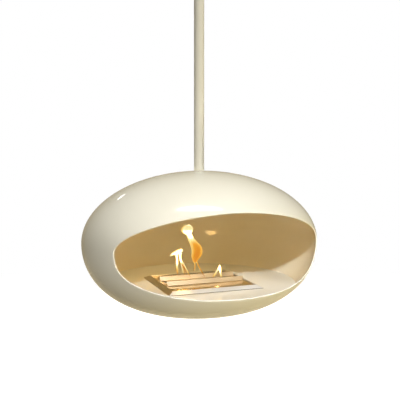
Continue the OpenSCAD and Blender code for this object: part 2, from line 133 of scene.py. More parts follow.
class Finish:
    """A material with one Principled shader."""

    def __init__(self, name, **sockets):
        self.material = bpy.data.materials.new(name)
        self.material.use_nodes = True
        self.tree = self.material.node_tree
        self.shader = self.tree.nodes["Principled BSDF"]
        self.wire(self.shader, {k.replace("_", " "): v for k, v in sockets.items()})
        self.place = self.add("TexCoord").outputs["Object"]

    def add(self, kind, sockets=None, **settings):
        node = self.tree.nodes.new("ShaderNode" + kind)
        for key, value in settings.items():
            setattr(node, key, value)
        self.wire(node, sockets or {})
        return node

    def wire(self, node, sockets):
        for key, value in sockets.items():
            if isinstance(value, bpy.types.NodeSocket):
                self.tree.links.new(value, node.inputs[key])
            else:
                node.inputs[key].default_value = value

    def noise(self, scale, detail=2.0, stretch=None):
        """Noise with `scale` cells a metre, drawn out along an axis where stretch is small."""
        place = self.place
        if stretch:
            place = self.add("Mapping", {"Vector": place, "Scale": stretch}).outputs[0]
        sockets = {"Vector": place, "Scale": scale, "Detail": detail}
        return self.add("TexNoise", sockets).outputs[0]

    def between(self, value, low, high, start=0.3, end=0.7):
        """Turns a pattern from start to end into a number from low to high."""
        sockets = {"Value": value, "From Min": start, "From Max": end, "To Min": low, "To Max": high}
        return self.add("MapRange", sockets).outputs[0]

    def mix(self, share, first, second):
        """A colour between two, by a share from 0 to 1."""
        node = self.add("Mix", data_type="RGBA")
        for socket, value in ((0, share), (6, first), (7, second)):
            if isinstance(value, bpy.types.NodeSocket):
                self.tree.links.new(value, node.inputs[socket])
            else:
                node.inputs[socket].default_value = value
        return node.outputs[2]

    def bump(self, height, depth):
        """Relief of that depth in metres from a pattern."""
        sockets = {"Height": height, "Distance": depth}
        self.wire(self.shader, {"Normal": self.add("Bump", sockets).outputs[0]})


def give(piece, finish):
    """Puts a finish on a piece, in place of what it had."""
    piece.data.materials.clear()
    piece.data.materials.append(finish.material)


print("a screen grey of 128 is", round(colour(128, 128, 128)[0], 3), "in linear light")

# %% [markdown]
# ### Cream paint
# The pod is sprayed with a satin paint. Sprayed paint is never quite flat: it has a faint
# orange peel a few millimetres across, and its colour drifts a little from place to place. The
# mouth's edge gets a paler, whiter copy of the paint: a painted highlight for the bright line
# along the lip. A painted texture could show the drift and the peel, but it would need a flat
# layout of a round skin. Noise in three directions needs none: a wide one mixes two creams, a
# fine one moves the roughness, and one between them makes the orange peel.

# %% Cream paint
DRIFT_SCALE = 5.0  # cells a metre
SPECK_SCALE = 900.0
PEEL_SCALE = 280.0
PEEL_DEPTH = 0.00003


def cream_paint(name, low, high, shine):
    """Sprayed paint that drifts between two creams, with the roughness `shine`."""
    paint = Finish(name, Coat_Weight=0.70, Coat_Roughness=0.06, Specular_IOR_Level=0.06)
    drift = paint.noise(DRIFT_SCALE)
    speck = paint.noise(SPECK_SCALE, detail=1.0)
    paint.wire(paint.shader, {
        "Base Color": paint.mix(paint.between(drift, 0.0, 1.0), low, high),
        "Roughness": paint.between(speck, shine - 0.02, shine + 0.03),
    })
    paint.bump(paint.noise(PEEL_SCALE, detail=1.0), PEEL_DEPTH)
    return paint


cream = cream_paint("cream_paint", colour(232, 227, 208), colour(236, 231, 213), 0.24)
# The hearth has the pod's own cream, made paler and cooler here: painted light, standing in for the
# brighter light on the hearth and cancelling the orange cast of the fire's light.
hearth_cream_painted_light = cream_paint("hearth_paint_painted_light", colour(240, 243, 237), colour(244, 247, 242), 0.45)
# The lip's paler, whiter paint is a painted highlight along the mouth's edge.
lip_highlight_paint = cream_paint("lip_painted_highlight", colour(253, 252, 247), colour(255, 254, 250), 0.30)
print("paint:", cream.material.name, hearth_cream_painted_light.material.name, lip_highlight_paint.material.name)

# %% [markdown]
# ### Steel
# The tray's flanges and the slats are ground along their length. Such a grain spreads a highlight
# across itself and keeps it narrow along itself, which the shader calls anisotropy: it takes a
# tangent along the grain, turned a quarter. Noise drawn out along the same axis makes the visible
# lines. One finish has its grain along X and one along Y, because a mitred frame changes
# direction, and this is partly why the front flange is bright while the side flanges stay dark.
# The rest is painted: the front strips' steel is a paler, cooler copy, a painted highlight, and
# the side strips' steel a darker, warmer copy, painted shade.

# %% Steel
ALONG_GRAIN = 0.6  # stretches of the noise
ACROSS_GRAIN = 60.0
NO_GRAIN = 8.0
LINE_SCALE = 60.0  # cells a metre
CLOUD_SCALE = 14.0
LINE_DEPTH = 0.000012


def ground_steel(name, grain, tint, rough, spread=0.0):
    """Steel whose grain runs along an axis, X or Y, or nowhere in particular."""
    steel = Finish(name, Metallic=1.0, Anisotropic=spread, Anisotropic_Rotation=0.25)
    stretch = [NO_GRAIN] * 3
    if grain:
        stretch = [ALONG_GRAIN if axis == grain else ACROSS_GRAIN for axis in "XYZ"]
    line = steel.noise(LINE_SCALE, detail=4.0, stretch=stretch)
    cloud = steel.noise(CLOUD_SCALE)
    steel.wire(steel.shader, {
        "Base Color": steel.mix(
            steel.between(cloud, 0.0, 1.0), tint, [0.9 * v for v in tint[:3]] + [1.0]
        ),
        "Roughness": steel.between(line, rough - 0.05, rough + 0.07),
    })
    if grain:
        along = (1, 0, 0) if grain == "X" else (0, 1, 0)
        turned = steel.add("VectorTransform", {"Vector": along}, vector_type="VECTOR",
                           convert_from="OBJECT", convert_to="WORLD")
        steel.wire(steel.shader, {"Tangent": turned.outputs[0]})
    steel.bump(line, LINE_DEPTH)
    return steel


# The polished deck's steel is tinted warm gold: a painted reflection of the flames and the golden
# inside of the pod that it mirrors.
polished_x_golden_reflection = ground_steel("polished_steel", "X", colour(250, 232, 198), 0.12)
slat_steel = ground_steel("slat_steel", "X", colour(244, 230, 204), 0.58)
# The two flange finishes differ in tint as well as grain: the front's paler, cooler steel is a
# painted highlight, the sides' darker, warmer steel is painted shade.
flange_x_painted_highlight = ground_steel("flange_steel_along_x_painted_highlight", "X", colour(240, 243, 246), 0.46, 0.9)
flange_y_painted_shade = ground_steel("flange_steel_along_y_painted_shade", "Y", colour(226, 222, 214), 0.45, 0.9)
dull_x = ground_steel("brushed_steel", "X", colour(206, 203, 197), 0.34, 0.7)
# A dark steel for the bezel's foot: a painted shadow line where the frame meets the hearth.
foot_painted_shadow = ground_steel("flange_foot_painted_shadow", "X", colour(84, 82, 78), 0.30, 0.7)
plain_steel = ground_steel("turned_steel", None, colour(196, 196, 196), 0.32)
print("steel:", [m.name for m in bpy.data.materials if "steel" in m.name])

# %% [markdown]
# ### Small finishes
# Pressed brass for the ball cage, black fixings, the white bush, rubber feet and the wool that
# soaks up the fuel. They are mostly hidden, but each has its own grain for a close look. They
# differ in colour, roughness and grain alone, so one function makes them all.

# %% Small finishes
def speckled(name, low, high, rough, scale, relief, **sockets):
    """A finish with a fine even speckle between two colours."""
    made = Finish(name, **sockets)
    speckle = made.noise(scale, detail=3.0)
    made.wire(made.shader, {
        "Base Color": made.mix(made.between(speckle, 0.0, 1.0), low, high),
        "Roughness": made.between(speckle, rough - 0.06, rough + 0.06),
    })
    made.bump(speckle, relief)
    return made


brass = speckled("pressed_brass", colour(176, 138, 66), colour(201, 164, 90),
                 0.30, 300.0, 0.00002, Metallic=1.0)
black_steel = speckled("blackened_steel", colour(30, 30, 31), colour(46, 45, 44),
                       0.38, 500.0, 0.00002, Metallic=0.6)
polymer = speckled("white_polymer", colour(222, 221, 216), colour(232, 231, 227),
                   0.45, 350.0, 0.00002)
rubber = speckled("black_silicone", colour(24, 24, 24), colour(36, 35, 34),
                  0.75, 700.0, 0.00003)
wool_white = speckled("ceramic_wool", colour(214, 208, 196), colour(240, 237, 230),
                      0.92, 420.0, 0.0006)
small = (brass, black_steel, polymer, rubber, wool_white)
print("small finishes:", [finish.material.name for finish in small])

# %% [markdown]
# The record's slots say which finish each piece of the frame takes. A table from slot to finish
# is short, and a new piece in a known slot is dressed with no new line.

# %% Finish the frame's own pieces
SLOT_FINISH = {
    "cream_paint": cream,
    "polished_steel": polished_x_golden_reflection,
    "brushed_steel": dull_x,
    "bearing_steel": plain_steel,
    "cage_brass": brass,
    "black_steel": black_steel,
    "white_polymer": polymer,
    "ceramic_fibre": wool_white,
    "heat_rubber": rubber,
}
node_slot = {part["node"]: part["material_slot"] for part in frame["record"]["subparts"]}
for node_name, node_object in frame["nodes"].items():
    give(node_object, SLOT_FINISH[node_slot[node_name]])
print("dressed", len(node_slot), "pieces of the frame")

# %% [markdown]
# ## Making pieces
# A finished piece keeps its object at the origin with its place in its mesh. It rides on the
# body that carries it, and stands for the nodes that it replaces.

# %% Helpers for pieces
WELD = 1e-6
SHARP = math.radians(32)  # a steeper edge stays creased


def piece_from(bm, name, body, finishes, nodes=()):
    """Turns a bmesh into a finished piece."""
    mesh = bpy.data.meshes.new(name)
    bm.to_mesh(mesh)
    bm.free()
    mesh.shade_smooth()
    mesh.set_sharp_from_angle(angle=SHARP)
    piece = bpy.data.objects.new(name, mesh)
    bpy.context.scene.collection.objects.link(piece)
    for finish in finishes:
        mesh.materials.append(finish.material)
    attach(piece, body)
    if nodes:
        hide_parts(*nodes)
    print(name, "-", len(mesh.polygons), "faces")
    return piece


def round_edges(bm, edges, width, segments=3):
    return bmesh.ops.bevel(
        bm, geom=edges, offset=width, offset_type="OFFSET", affect="EDGES",
        segments=segments, profile=0.5, material=-1, clamp_overlap=True,
    )


print("edges steeper than", round(math.degrees(SHARP)), "degrees stay creased")

# %% [markdown]
# ### The pod's shape
# The real pod is spun from sheet in two halves, welded and ground flush, so paint hides the
# seam and it is seen as one skin. Its half outline is an ellipse above the widest level and a
# slightly fuller curve below, it leans back by a few degrees, and the mouth is punched straight
# through its front. The punched edge is then dressed square to the sheet, a little outside the
# punch on the outer face and inside it on the inner face. A function gives the distance from a
# point to the skin, and a search along a ray finds where the ray meets it. A spin would make the
# same shape, but its rings would run across the mouth's edge and not along it.

# %% Measures of the pod
BOWL_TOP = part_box("upper_bowl")
POD_R = (BOWL_TOP[1].x - BOWL_TOP[0].x) / 2
CROWN_H = 0.195  # above the widest level
BELLY_H = 0.206  # below it
FULLNESS = 0.034  # 0 makes the belly an ellipse
SHEET = 0.0035
LEAN = math.radians(3.1)

MOUTH_HALF = 0.279  # half its width
MOUTH_MID = 0.0047  # above the widest level
MOUTH_RISE = 0.100
MOUTH_FALL = 0.109
RISE_POWER = 1.9  # 2 makes an ellipse, and more a squarer curve
FALL_POWER = 2.65
LIP_OUT = 0.0014  # how far outside the punch the dressed edge lies
print("pod radius", round(POD_R, 4), "widest level", round(LEVEL, 4))

# %% The skin as a function
REACH = 0.5  # farther than the skin from any point inside the pod
HALVINGS = 44


def outline(inset):
    """Heights and radii of the half outline, inset from the outer face."""
    a = np.linspace(0, math.pi / 2, 500)
    full = (np.sin(a) + FULLNESS * np.sin(3 * a)) / (1 - FULLNESS)
    z = np.concatenate([-(BELLY_H - inset) * full[::-1], (CROWN_H - inset) * np.sin(a[1:])])
    r = (POD_R - inset) * np.concatenate([np.cos(a)[::-1], np.cos(a[1:])])
    return z, r


def depth_inside(points, inset):
    """How far points lie inside the skin, measured level, about the pod's widest level."""
    x, y, z = points.T
    along = y * math.cos(LEAN) - z * math.sin(LEAN)
    height = y * math.sin(LEAN) + z * math.cos(LEAN)
    return np.interp(height, *outline(inset), left=-1, right=-1) - np.hypot(x, along)


def march(start, step, inset):
    """Where rays from inside the pod meet the skin."""
    near = np.zeros(len(start))
    far = np.full(len(start), REACH)
    for _ in range(HALVINGS):
        middle = (near + far) / 2
        inside = depth_inside(start + middle[:, None] * step, inset) > 0
        near = np.where(inside, middle, near)
        far = np.where(inside, far, middle)
    return start + near[:, None] * step


print("half outline:", len(outline(0.0)[0]), "points")

# %% The mouth's edge
PROBE = 1e-4  # step for the slope of the skin


def lip_points(turn, depth):
    """The mouth's edge at angles round it, from the right through the top, and down its face."""
    c, s = np.cos(turn), np.sin(turn)
    power = 2 / np.where(s >= 0, RISE_POWER, FALL_POWER)
    height = np.where(s >= 0, MOUTH_RISE, MOUTH_FALL) + LIP_OUT
    x = (MOUTH_HALF + LIP_OUT) * np.sign(c) * np.abs(c) ** power
    z = MOUTH_MID + height * np.sign(s) * np.abs(s) ** power
    start = np.stack([x, np.zeros_like(x), z], axis=1)
    edge = march(start, np.array([0.0, -1.0, 0.0]), 0.0)
    slope = np.stack([
        depth_inside(edge + tiny, 0.0) - depth_inside(edge - tiny, 0.0)
        for tiny in PROBE * np.eye(3)
    ], axis=1)
    return edge + depth * slope / np.linalg.norm(slope, axis=1)[:, None]


print("mouth", round(2 * MOUTH_HALF, 4), "wide and", round(MOUTH_RISE + MOUTH_FALL, 4), "high")

# %% [markdown]
# ### The pod's skin
# A mouth cut into a spun mesh by a Boolean leaves long thin faces round it, and gloss shows every
# one. So the mesh is laid round the mouth from the start: a ball with its poles to the front and
# back loses its front cap, and the open edge becomes the lip. Each ring behind it keeps its share
# of the way to the back pole and is pushed out to the skin. A second ball makes the inner face,
# a bridge of paler paint, a painted highlight along the lip, closes the lip, and a small bevel
# rounds it. Each round has three strips and its middle one lies between both paints, where the
# bevel's choice varies from run to run. So the script gives the paler paint itself, to the flat
# of the lip and the strips that touch it.

# %% The pod's skin
AROUND = 224
RINGS = 76
LIP_ROUND = 0.0011


def half_skin(bm, inset):
    """One face of the sheet, from the lip to the back."""
    made = bmesh.ops.create_uvsphere(bm, u_segments=AROUND, v_segments=RINGS, radius=1.0)
    ball = made["verts"]
    bmesh.ops.rotate(bm, verts=ball, matrix=Matrix.Rotation(math.radians(90), 3, "X"))
    front = min(ball, key=lambda v: v.co.y)
    ball = [v for v in ball if v is not front]
    bmesh.ops.delete(bm, geom=[front], context="VERTS")

    unit = np.array([v.co for v in ball], float)
    turn = np.arctan2(unit[:, 2], unit[:, 0])
    swing = np.arccos(np.clip(-unit[:, 1], -1, 1))
    first = math.pi / RINGS
    share = (swing - first) / (math.pi - first)

    lip = lip_points(turn, inset)
    ray = lip / np.linalg.norm(lip, axis=1)[:, None]
    lip_turn = np.arctan2(ray[:, 2], ray[:, 0])
    lip_swing = np.arccos(-ray[:, 1])
    swing = lip_swing + (math.pi - lip_swing) * share
    step = np.stack([
        np.sin(swing) * np.cos(lip_turn), -np.cos(swing), np.sin(swing) * np.sin(lip_turn)
    ], axis=1)
    skin = march(np.zeros_like(step), step, inset)
    on_lip = share < 0.5 / RINGS
    skin[on_lip] = lip[on_lip]
    for vertex, place in zip(ball, skin):
        vertex.co = Vector(place) + Vector((0, 0, LEVEL))


def make_pod():
    bm = bmesh.new()
    half_skin(bm, 0.0)
    half_skin(bm, SHEET)
    lip = [e for e in bm.edges if e.is_boundary]
    bridge = bmesh.ops.bridge_loops(bm, edges=lip)
    for face in bridge["faces"]:
        face.material_index = 1
    bmesh.ops.recalc_face_normals(bm, faces=bm.faces)
    strips = set(round_edges(bm, lip, LIP_ROUND)["faces"])
    flat = {face for face in bm.faces if face.material_index == 1} - strips
    for strip in strips:
        beside = {face for edge in strip.edges for face in edge.link_faces}
        strip.material_index = int(not flat.isdisjoint(beside))
    print("the lip has", len(flat), "flat faces and", len(strips), "in its rounds")
    print("paler faces:", sum(face.material_index for face in bm.faces))
    # The second finish, on the lip, is a painted highlight.
    return piece_from(
        bm, "pod_skin", "pod", [cream, lip_highlight_paint], ["upper_bowl", "lower_bowl"]
    )


pod_skin = make_pod()

# %% [markdown]
# The pole enters through a round hole in the crown with a millimetre to spare. The hole is far
# from the lip on a nearly flat place, so a Boolean is clean enough there.

# %% The hole in the crown
HOLE_R = 0.015
PUNCH_LENGTH = 0.08


def punch_crown(skin):
    bm = bmesh.new()
    made = bmesh.ops.create_cone(
        bm, cap_ends=True, segments=64, radius1=HOLE_R, radius2=HOLE_R, depth=PUNCH_LENGTH
    )
    bmesh.ops.translate(bm, verts=made["verts"], vec=(0, 0, LEVEL + CROWN_H))
    mesh = bpy.data.meshes.new("crown_punch")
    bm.to_mesh(mesh)
    bm.free()
    punch = bpy.data.objects.new("crown_punch", mesh)
    bpy.context.scene.collection.objects.link(punch)
    cut = skin.modifiers.new("crown_hole", "BOOLEAN")
    cut.operation = "DIFFERENCE"
    cut.solver = "EXACT"
    cut.object = punch
    graph = bpy.context.evaluated_depsgraph_get()
    cut_mesh = bpy.data.meshes.new_from_object(skin.evaluated_get(graph))
    skin.modifiers.clear()
    skin.data = cut_mesh
    bpy.data.objects.remove(punch)
    cut_mesh.set_sharp_from_angle(angle=SHARP)
    print("crown hole cut,", len(cut_mesh.polygons), "faces")


punch_crown(pod_skin)

# %% [markdown]
# ### Softened pieces
# No real edge is perfectly sharp. A copy of a node's mesh is welded, its flat faces are joined
# again, and every sharp edge gets a small round, which catches a thin line of light. A Bevel
# modifier finds no shared edges on a node's loose triangles, so the weld has to come first.

# %% Softened copies
FLAT = math.radians(0.6)  # faces that differ by less are joined
body_of = {}
for body_name, body_empty in frame["bodies"].items():
    for node_name, node_object in frame["nodes"].items():
        if node_object.parent == body_empty:
            body_of[node_name] = body_name


def softened(node, width, finish):
    bm = bmesh.new()
    bm.from_mesh(frame["nodes"][node].data)
    bmesh.ops.remove_doubles(bm, verts=bm.verts, dist=WELD)
    bmesh.ops.dissolve_limit(bm, angle_limit=FLAT, verts=bm.verts, edges=bm.edges)
    sharp = [e for e in bm.edges if e.is_manifold and e.calc_face_angle() > SHARP]
    round_edges(bm, sharp, width, segments=2)
    bmesh.ops.recalc_face_normals(bm, faces=bm.faces)
    return piece_from(bm, node + "_made", body_of[node], [finish], [node])


for node, width, finish in (
    ("pole", 0.0008, cream),
    ("canopy", 0.0008, cream),
    ("canopy_collar", 0.0006, cream),
    ("hearth_plate", 0.0006, hearth_cream_painted_light),
    ("tray_deck", 0.0003, polished_x_golden_reflection),
    ("front_slat", 0.0003, slat_steel),
    ("rear_slat", 0.0003, slat_steel),
    ("tray_well", 0.0003, dull_x),
    ("fuel_box", 0.0003, dull_x),
    ("slide_rails", 0.0002, dull_x),
    ("damper", 0.0002, dull_x),
):
    softened(node, width, finish)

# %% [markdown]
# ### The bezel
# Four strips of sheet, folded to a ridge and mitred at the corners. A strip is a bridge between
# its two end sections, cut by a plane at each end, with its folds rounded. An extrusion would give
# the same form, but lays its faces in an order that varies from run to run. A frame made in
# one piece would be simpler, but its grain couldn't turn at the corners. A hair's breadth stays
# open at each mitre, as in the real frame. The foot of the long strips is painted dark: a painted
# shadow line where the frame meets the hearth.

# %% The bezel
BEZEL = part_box("tray_bezel")
BEZEL_W = 0.016  # from its foot to the ridge
BEZEL_RISE = 0.0085
BEZEL_LEG = 0.008  # how far the inner leg goes down
STEEL_T = 0.0015
MITRE_GAP = 0.00006
FOLD_ROUND = 0.0004
# The dark share of the slope is a painted shadow along the frame's foot.
FOOT_SHARE = 0.10  # of the slope is dark
BEZEL_MIDDLE = (BEZEL[0] + BEZEL[1]) / 2
BEZEL_FOOT = LEVEL - HEARTH_DROP
bezel_size = BEZEL[1] - BEZEL[0]


def bezel_side(whole, length, reach, turn, material):
    """One strip, made on the near side and turned round the tray's middle."""
    section = [
        (0, 0), (-FOOT_SHARE * BEZEL_W, FOOT_SHARE * BEZEL_RISE),
        (-BEZEL_W, BEZEL_RISE), (-BEZEL_W, -BEZEL_LEG),
        (-BEZEL_W + STEEL_T, -BEZEL_LEG), (-BEZEL_W + STEEL_T, BEZEL_RISE - 2 * STEEL_T),
        (-3 * STEEL_T, 0),
    ]
    bm = bmesh.new()
    for x in (-length / 2, length / 2):
        bm.faces.new([bm.verts.new((x, -reach - out, up)) for out, up in section])
    bmesh.ops.bridge_loops(bm, edges=bm.edges)
    for side in (-1, 1):
        bmesh.ops.bisect_plane(
            bm, geom=bm.verts[:] + bm.edges[:] + bm.faces[:], clear_outer=True,
            plane_co=(side * (length / 2 - MITRE_GAP), -reach, 0), plane_no=(side, 1, 0),
        )
        bmesh.ops.holes_fill(bm, edges=[e for e in bm.edges if e.is_boundary])
    bmesh.ops.recalc_face_normals(bm, faces=bm.faces)
    lengthwise = [e for e in bm.edges if abs((e.verts[1].co - e.verts[0].co).normalized().x) > 0.9]
    folds = [e for e in lengthwise if e.calc_face_angle() > 0.1]
    round_edges(bm, folds, FOLD_ROUND)
    for face in bm.faces:
        # The foot faces take the dark steel, a painted shadow line.
        foot = face.calc_center_median().y + reach < FOOT_SHARE * BEZEL_W
        face.material_index = 2 if foot and material == 0 else material
    bmesh.ops.rotate(bm, verts=bm.verts, matrix=Matrix.Rotation(turn, 3, "Z"))
    strip = bpy.data.meshes.new("strip")
    bm.to_mesh(strip)
    bm.free()
    whole.from_mesh(strip)
    bpy.data.meshes.remove(strip)


def make_bezel():
    bm = bmesh.new()
    wide, deep = bezel_size.x, bezel_size.y
    for turn in (0, math.pi):
        bezel_side(bm, wide, deep / 2, turn, 0)
        bezel_side(bm, deep, wide / 2, turn + math.pi / 2, 1)
    bmesh.ops.translate(bm, verts=bm.verts, vec=(BEZEL_MIDDLE.x, BEZEL_MIDDLE.y, BEZEL_FOOT))
    return piece_from(
        bm, "bezel", "burner", [flange_x_painted_highlight, flange_y_painted_shade, foot_painted_shadow], ["tray_bezel"]
    )


make_bezel()

# %% [markdown]
# ### The wool
# A block of ceramic fibre that holds the fuel, seen through the holes of its screen. Its faces
# are subdivided and pushed inwards by smooth noise, so that it lies slightly uneven. Bump alone
# would leave its edges ruler straight.

# %% The wool
WOOL_CUTS = 40
DENT_SCALE = 90.0  # cells a metre
DENT_DEPTH = 0.0016


def make_wool():
    low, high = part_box("ceramic_wool")
    bm = bmesh.new()
    bmesh.ops.create_cube(bm, size=1.0)
    bmesh.ops.scale(bm, verts=bm.verts, vec=high - low)
    middle = (low + high) / 2
    bmesh.ops.translate(bm, verts=bm.verts, vec=middle)
    bmesh.ops.subdivide_edges(bm, edges=bm.edges, cuts=WOOL_CUTS, use_grid_fill=True)
    for vertex in bm.verts:
        dent = 0.5 + 0.5 * noise.noise(vertex.co * DENT_SCALE)
        vertex.co += (middle - vertex.co).normalized() * DENT_DEPTH * dent
    return piece_from(bm, "wool", "burner", [wool_white], ["ceramic_wool"])


make_wool()

# %% [markdown]
# ## Flames
# Three flames stand in the slot. Each is made of thin closed sheets with a lens for a section,
# drawn row by row on the plane over the slot: a row gives the sheet's left and right edge as
# they are seen in the picture, how hot it is at its left edge, its middle and its right edge, and
# how solid it is. Simulated fire would be a volume, which is slow, flickers from frame to frame
# and can't be handed on as a mesh.
#
# The tall flame has a bulb on top, a neck, a hollow belly and two feet.

# %% The tall flame
TALL_BODY = [
    (188.5, 224.7, 189.7, 224.8, 1.0, 1.0, 1.0, 1.0),
    (184.4, 225.5, 192.2, 226.4, 0.8, 0.7, 1.0, 1.0),
    (181.4, 228.3, 193.1, 228.8, 0.8, 0.7, 1.0, 1.0),
    (181.2, 231.4, 192.7, 231.2, 0.8, 1.0, 1.0, 1.0),
    (183.6, 233.8, 192.0, 232.8, 0.9, 1.0, 0.9, 1.0),
    (185.9, 234.8, 192.5, 234.4, 0.9, 1.0, 0.8, 1.0),
    (187.4, 238.4, 194.0, 237.6, 0.9, 0.9, 0.7, 1.0),
    (189.4, 243.0, 197.4, 242.0, 1.0, 0.35, 0.75, 1.0),
    (190.9, 247.2, 201.0, 245.6, 1.0, 0.15, 0.8, 0.95),
    (191.6, 251.4, 202.6, 250.2, 1.0, 0.05, 0.85, 0.9),
    (191.3, 256.0, 201.8, 255.2, 0.9, 0.0, 0.85, 0.9),
    (192.3, 260.2, 198.3, 259.6, 0.75, 0.0, 0.8, 0.9),
    (193.6, 262.6, 196.6, 262.4, 0.6, 0.1, 0.7, 0.8),
]
TALL_LEFT_FOOT = [
    (193.3, 261.4, 195.2, 261.6, 0.7, 0.5, 0.5, 0.8),
    (194.4, 265.6, 195.8, 265.6, 0.5, 0.4, 0.4, 0.6),
    (193.9, 269.0, 195.1, 269.0, 0.3, 0.3, 0.3, 0.4),
    (192.9, 271.6, 193.7, 271.6, 0.2, 0.2, 0.2, 0.0),
]
TALL_RIGHT_FOOT = [
    (195.6, 261.0, 197.3, 261.0, 0.7, 0.5, 0.6, 0.8),
    (197.6, 265.2, 198.9, 265.2, 0.5, 0.3, 0.5, 0.7),
    (200.3, 270.3, 201.6, 270.3, 0.4, 0.3, 0.4, 0.5),
    (203.0, 274.6, 204.0, 274.6, 0.3, 0.3, 0.3, 0.35),
    (204.6, 277.6, 205.4, 277.6, 0.2, 0.2, 0.2, 0.0),
]
print("tall flame:", len(TALL_BODY + TALL_LEFT_FOOT + TALL_RIGHT_FOOT), "rows")

# %% [markdown]
# The twin flame is two strands under one cap. The right strand forks near the slot, with a thin
# veil between its legs.

# %% The twin flame
TWIN_CAP = [
    (169.6, 255.6, 170.6, 256.6, 0.6, 0.7, 0.7, 1.0),
    (171.4, 252.9, 174.0, 255.3, 0.6, 0.9, 0.9, 1.0),
    (174.4, 250.7, 177.2, 255.6, 0.6, 0.95, 0.8, 1.0),
    (178.0, 249.0, 180.4, 253.6, 0.6, 0.95, 0.8, 1.0),
    (181.2, 248.2, 182.6, 251.6, 0.6, 0.9, 0.8, 1.0),
    (183.0, 249.4, 183.2, 250.6, 0.6, 0.8, 0.7, 1.0),
]
TWIN_LEFT = [
    (174.6, 254.2, 177.8, 253.6, 1.0, 1.0, 1.0, 1.0),
    (175.8, 257.6, 177.9, 257.6, 0.9, 1.0, 0.9, 1.0),
    (176.0, 262.0, 178.1, 262.0, 0.8, 1.0, 0.8, 1.0),
    (175.5, 266.6, 178.2, 266.6, 0.4, 0.7, 0.7, 0.8),
    (176.2, 270.6, 178.2, 270.6, 0.2, 0.4, 0.3, 0.6),
    (177.0, 275.2, 178.2, 275.2, 0.1, 0.2, 0.1, 0.0),
]
TWIN_RIGHT = [
    (179.0, 253.0, 181.8, 252.6, 1.0, 1.0, 1.0, 1.0),
    (178.9, 256.4, 181.3, 256.4, 0.9, 1.0, 0.9, 1.0),
    (179.4, 259.8, 181.8, 259.8, 0.8, 1.0, 0.9, 1.0),
    (180.2, 262.4, 183.0, 262.2, 0.8, 0.9, 0.9, 1.0),
    (180.8, 264.2, 183.9, 264.0, 0.7, 0.5, 0.7, 0.8),
]
TWIN_VEIL = [
    (181.2, 263.6, 183.8, 263.4, 0.5, 0.1, 0.5, 0.8),
    (182.2, 267.6, 185.4, 267.4, 0.4, 0.0, 0.4, 0.6),
    (183.4, 271.0, 187.4, 270.8, 0.3, 0.0, 0.3, 0.3),
    (184.6, 274.0, 189.2, 273.8, 0.1, 0.0, 0.1, 0.0),
]
TWIN_FORK_LEFT = [
    (180.6, 263.4, 181.8, 263.4, 0.8, 0.8, 0.8, 1.0),
    (181.7, 267.7, 182.7, 267.7, 0.7, 0.8, 0.7, 0.9),
    (183.2, 272.0, 184.1, 272.0, 0.6, 0.6, 0.6, 0.6),
    (184.4, 275.2, 185.1, 275.2, 0.4, 0.4, 0.4, 0.0),
]
TWIN_FORK_RIGHT = [
    (182.2, 262.6, 183.6, 262.4, 0.8, 0.8, 0.8, 1.0),
    (184.4, 266.8, 185.7, 266.6, 0.7, 0.8, 0.7, 0.9),
    (187.0, 271.4, 188.1, 271.2, 0.6, 0.6, 0.6, 0.7),
    (190.4, 277.6, 191.2, 277.5, 0.4, 0.4, 0.4, 0.0),
]
print("twin flame:", len(TWIN_CAP + TWIN_LEFT + TWIN_RIGHT), "rows above the fork")

# %% [markdown]
# The small flame is two legs that meet in a point.

# %% The small flame
SMALL_LEFT = [
    (219.0, 264.9, 219.9, 264.9, 0.8, 0.9, 0.8, 1.0),
    (217.8, 267.4, 220.8, 267.2, 0.8, 1.0, 0.9, 1.0),
    (216.6, 269.6, 219.0, 269.8, 0.7, 0.9, 0.6, 1.0),
    (215.0, 272.2, 217.0, 272.6, 0.6, 0.7, 0.5, 0.9),
    (213.2, 275.4, 215.0, 275.8, 0.5, 0.5, 0.4, 0.7),
    (212.4, 277.4, 213.6, 277.6, 0.3, 0.4, 0.3, 0.2),
]
SMALL_RIGHT = [
    (219.0, 264.9, 219.9, 264.9, 0.8, 0.9, 0.8, 1.0),
    (218.6, 267.4, 221.0, 267.2, 0.8, 1.0, 0.9, 1.0),
    (218.9, 270.6, 221.2, 270.4, 0.8, 1.0, 0.8, 1.0),
    (219.2, 273.2, 221.5, 273.0, 0.6, 0.8, 0.7, 0.9),
    (220.2, 276.0, 222.3, 275.8, 0.5, 0.6, 0.5, 0.7),
    (221.2, 277.8, 222.4, 277.7, 0.3, 0.4, 0.3, 0.2),
]
print("small flame:", len(SMALL_LEFT + SMALL_RIGHT), "rows")

# %% [markdown]
# ### From rows to sheets
# The line of sight through a point of the picture is followed to the plane over the slot, which
# gives the point's real place. A smooth curve runs through the rows, so that a dozen rows are
# enough for a soft outline. A circle is laid at each step, squeezed to the row's width, and
# bridged to the next.

# %% From the picture to the slot
FLAME_Y = -0.018  # the middle of the slot


def over_slot(px, py):
    """Where the line of sight through a point of the picture meets the plane over the slot."""
    reach = SENSOR / LENS / PICTURE
    middle = PICTURE / 2
    sight = Vector(((px - middle) * reach, (middle - py) * reach, -1))
    ray = camera.rotation_euler.to_matrix() @ sight
    return camera.location + ray * ((FLAME_Y - camera.location.y) / ray.y)


picture_middle = over_slot(PICTURE / 2, PICTURE / 2)
print("the picture's middle lies over the slot at", [round(v, 3) for v in picture_middle])

# %% A smooth curve through the rows
STEPS = 6  # from one row to the next


def smooth_rows(rows):
    """Rows along a smooth curve through the given ones."""
    known = np.array(rows)
    padded = np.concatenate([2 * known[:1] - known[1:2], known, 2 * known[-1:] - known[-2:-1]])
    out = []
    for i in range(len(known) - 1):
        a, b, c, d = padded[i:i + 4]
        for t in np.linspace(0, 1, STEPS, endpoint=False):
            out.append(0.5 * (
                2 * b + (c - a) * t + (2 * a - 5 * b + 4 * c - d) * t ** 2
                + (3 * b - a - 3 * c + d) * t ** 3
            ))
    out.append(known[-1])
    return out


print(len(TALL_BODY), "rows become", len(smooth_rows(TALL_BODY)))

# %% Sheets
AROUND_SHEET = 16
SHEET_DEPTH = 0.45  # as a share of its width
RIM = 0.7  # beyond this share of the half width a sheet cools to half its heat


